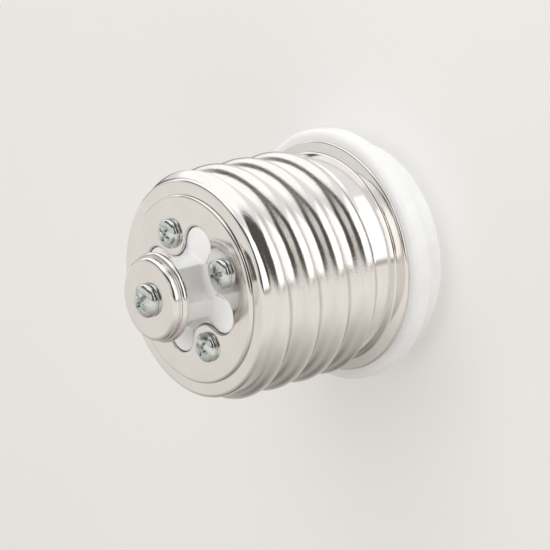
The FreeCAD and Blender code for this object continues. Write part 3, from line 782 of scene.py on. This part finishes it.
def panel_group():
    """Node group: how far a direction falls inside a flat soft-edged panel in the studio."""
    group = bpy.data.node_groups.new("studio_panel", "ShaderNodeTree")
    for name in ("Direction", "Facing", "Across", "Upward"):
        group.interface.new_socket(name, in_out="INPUT", socket_type="NodeSocketVector")
    for name in ("Half Width", "Half Height", "Edge"):
        group.interface.new_socket(name, in_out="INPUT", socket_type="NodeSocketFloat")
    group.interface.new_socket("Inside", in_out="OUTPUT", socket_type="NodeSocketFloat")
    given = group.nodes.new("NodeGroupInput").outputs
    result = group.nodes.new("NodeGroupOutput").inputs
    ahead = calc(group, "MAXIMUM", dot_with(group, given["Direction"], given["Facing"]), 0.001)
    inside = []
    for side, size in (("Across", "Half Width"), ("Upward", "Half Height")):
        offset = calc(group, "DIVIDE", dot_with(group, given["Direction"], given[side]), ahead)
        limit = calc(group, "ADD", given[size], given["Edge"])
        start = calc(group, "SUBTRACT", given[size], given["Edge"])
        outside = soft_step(group, calc(group, "ABSOLUTE", offset), start, limit)
        inside.append(calc(group, "SUBTRACT", 1.0, outside))
    group.links.new(calc(group, "MULTIPLY", *inside), result["Inside"])
    return group


def studio_panel(tree, group, direction, around, above, half_width, half_height, edge):
    """Sets one panel up square to its direction."""
    facing = studio_direction(around, above)
    across = studio_direction(around + 90, 0)
    node = tree.nodes.new("ShaderNodeGroup")
    node.node_tree = group
    tree.links.new(direction, node.inputs["Direction"])
    for name, value in (("Facing", facing), ("Across", across), ("Upward", facing.cross(across)),
                        ("Half Width", half_width), ("Half Height", half_height), ("Edge", edge)):
        node.inputs[name].default_value = value
    return node.outputs["Inside"]


def light_the_studio():
    """The world as a studio: ground with a painted shadow of the adapter on it, backdrop, horizon, overhead glow
    and panels, each by direction.
    """
    scene = bpy.context.scene
    scene.view_settings.view_transform = "Standard"
    world = bpy.data.worlds.new("studio")
    scene.world = world
    world.use_nodes = True
    tree = world.node_tree
    tree.nodes.clear()
    direction = tree.nodes.new("ShaderNodeTexCoord").outputs["Generated"]
    height = dot_with(tree, direction, STUDIO_UP)
    # Painted shadow: the ground turns grey and then dark round one direction below, as if the adapter's own shadow
    # lay there, and the bright metal mirrors it.
    toward_shadow = dot_with(tree, direction, studio_direction(330, -75))
    shadowed_ground = blended(tree, soft_step(tree, toward_shadow, 0.25, 1.0), GROUND_PALE, GROUND_PAINTED_SHADOW)
    shadowed_ground = blended(tree, soft_step(tree, toward_shadow, 0.90, 1.02), shadowed_ground, GROUND_PAINTED_CONTACT_SHADOW)
    backdrop = blended(tree, soft_step(tree, height, 0.0, 0.6), BACKDROP_FOOT, BACKDROP_TOP)
    colour = blended(tree, soft_step(tree, height, -0.02, 0.02), shadowed_ground, backdrop)
    off_line = soft_step(tree, calc(tree, "ABSOLUTE", height), 0.01, 0.06)
    on_line = calc(tree, "MULTIPLY", calc(tree, "SUBTRACT", 1.0, off_line), 0.6)
    colour = blended(tree, on_line, colour, HORIZON_LINE)
    overhead = dot_with(tree, direction, studio_direction(310, 62))
    colour = blended(tree, soft_step(tree, overhead, 0.71, 0.82), colour, OVERHEAD_GLOW)
    group = panel_group()
    for around, above, half_width, half_height, edge, level in STUDIO_PANELS:
        inside = studio_panel(tree, group, direction, around, above, half_width, half_height, edge)
        colour = blended(tree, inside, colour, level)
    camera_ray = tree.nodes.new("ShaderNodeLightPath").outputs["Is Camera Ray"]
    light = tree.nodes.new("ShaderNodeBackground")
    tree.links.new(blended(tree, camera_ray, colour, SEEN_BACKDROP), light.inputs["Color"])
    out = tree.nodes.new("ShaderNodeOutputWorld")
    tree.links.new(light.outputs[0], out.inputs["Surface"])


# The adapter

marks = turned_marks_group()
handled = handled_group()
white = white_moulding("white_moulding", handled)
rolled_nickel = nickel_plate("rolled_nickel", marks, handled, rows=1500.0, smooth=0.045, grain=4.0)
pressed_nickel = nickel_plate("pressed_nickel", marks, handled, rows=3200.0, smooth=0.075, grain=0.0)
zinc = zinc_plate("zinc_plate", handled)
brass = plain_brass("plain_brass", marks, handled)

shell = grown(shell_start(), rolled_thread_tree(), rolled_nickel)
add_piece("mogul_shell_skin", shell, rolled_nickel, ["mogul_shell"])
add_piece("end_plate_skin", plate_mesh(), pressed_nickel, ["end_plate"])
add_piece("contact_cap_skin", cap_mesh(), pressed_nickel, ["contact_cap"])
add_piece("core_body_skin", core_mesh(), white, ["core_body"])
add_piece("collar_ring_skin", collar_mesh(), white, ["collar_ring"])

fasteners = ring_of_fasteners_tree()
plate_screw = screw_mesh(shank=1.25, head_radius=2.5, head=1.45, seat=PLATE_TOP, tip=22.05)
screws = grown(plate_screw, fasteners, zinc, **{"First Turn": 0.6, "Turn Step": 0.8})
add_piece("plate_screws_skin", screws, zinc, [f"plate_screw_{k}" for k in (1, 2, 3, 4)])
nut = nut_mesh(flats=5.0, bore=1.27, low=SOCKET_FLOOR - 2.0, high=SOCKET_FLOOR)
nuts = grown(nut, fasteners, zinc, **{"First Turn": 0.0, "Turn Step": math.pi / 2})
add_piece("screw_nuts_skin", nuts, zinc, [f"screw_nut_{k}" for k in (1, 2, 3, 4)], sharp=25.0)
cap_screw = screw_mesh(shank=1.5, head_radius=2.85, head=1.7, seat=CAP_TOP, tip=39.8)
cap_screw.transform(Matrix.Rotation(0.35, 4, "Z"))
add_piece("cap_screw_skin", cap_screw, zinc, ["cap_screw"])

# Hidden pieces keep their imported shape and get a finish.
for node, material, slot in (("medium_sleeve", rolled_nickel, "nickel_plate"),
                             ("contact_leaf", brass, "plain_brass"),
                             ("core_stud", brass, "plain_brass"),
                             ("leaf_screw", zinc, "zinc_plate")):
    add_piece(node + "_skin", merged_copy(node), material, [node], sharp=32.0)

place_camera()
pale_floor()
light_the_studio()
fill_lamp()
